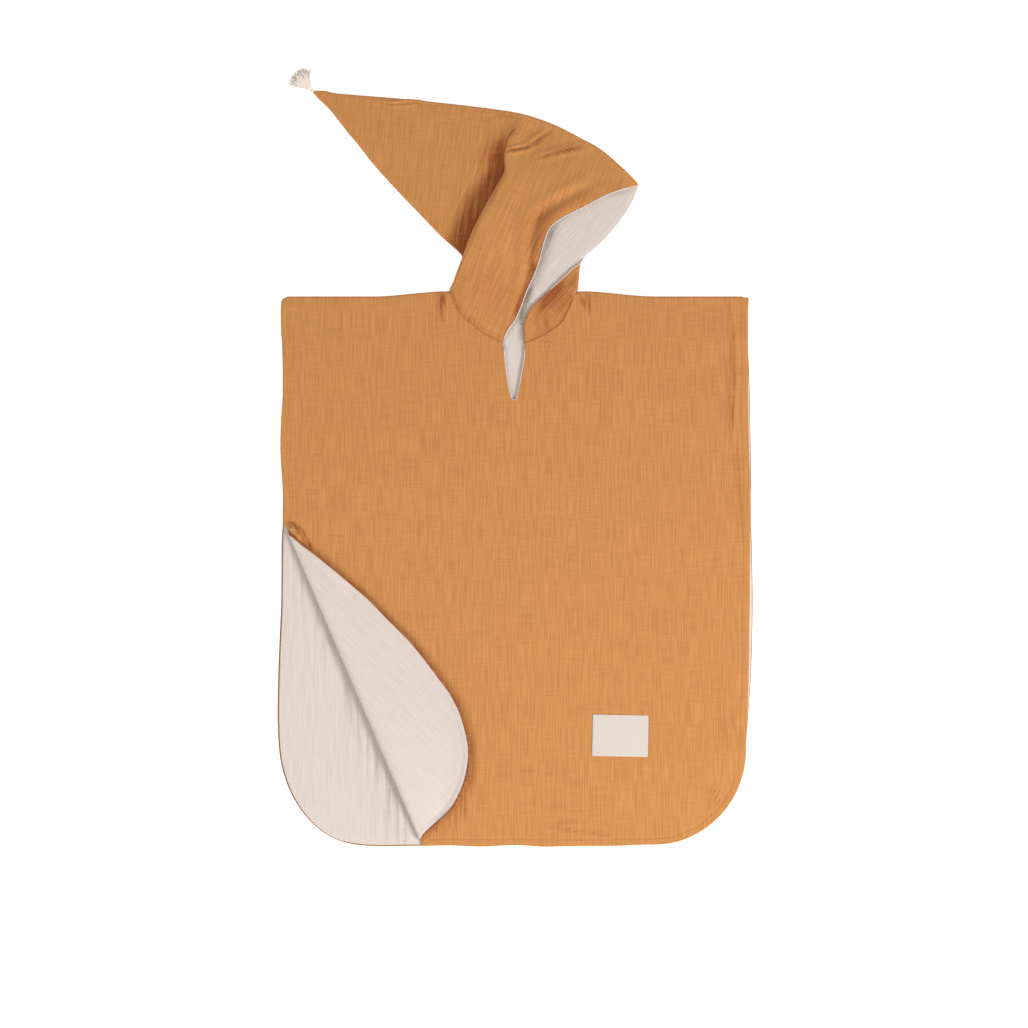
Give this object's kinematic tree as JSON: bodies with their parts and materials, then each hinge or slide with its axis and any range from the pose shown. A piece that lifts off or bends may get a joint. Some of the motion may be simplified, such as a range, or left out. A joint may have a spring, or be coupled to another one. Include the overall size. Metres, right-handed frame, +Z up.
{
  "type": "hooded bath poncho",
  "caption": "Child's hooded bath poncho in lined double gauze, laid flat with a front corner turned up and the pointed hood on its side.",
  "frame": {"origin": "centre of the garment's footprint, on the surface that it lies on", "axes": "+Z up from the surface, +Y from the hem towards the hood, +X towards the right-hand side as seen from above"},
  "size_m": [0.6045, 0.9911, 0.0219],
  "materials": {
    "outer_gauze": "matt crinkled double gauze, ochre",
    "lining_gauze": "matt crinkled double gauze, cream",
    "label_cotton": "matt close-woven cotton tape",
    "tassel_yarn": "matt cotton yarn"
  },
  "bodies": {
    "root": {"back_outer": "outer_gauze", "back_lining": "lining_gauze", "front_outer": "outer_gauze", "front_lining": "lining_gauze", "hood_near_outer": "outer_gauze", "hood_near_lining": "lining_gauze", "hood_far_outer": "outer_gauze", "hood_far_lining": "lining_gauze", "label": "label_cotton", "tassel": "tassel_yarn"}
  },
  "joints": []
}
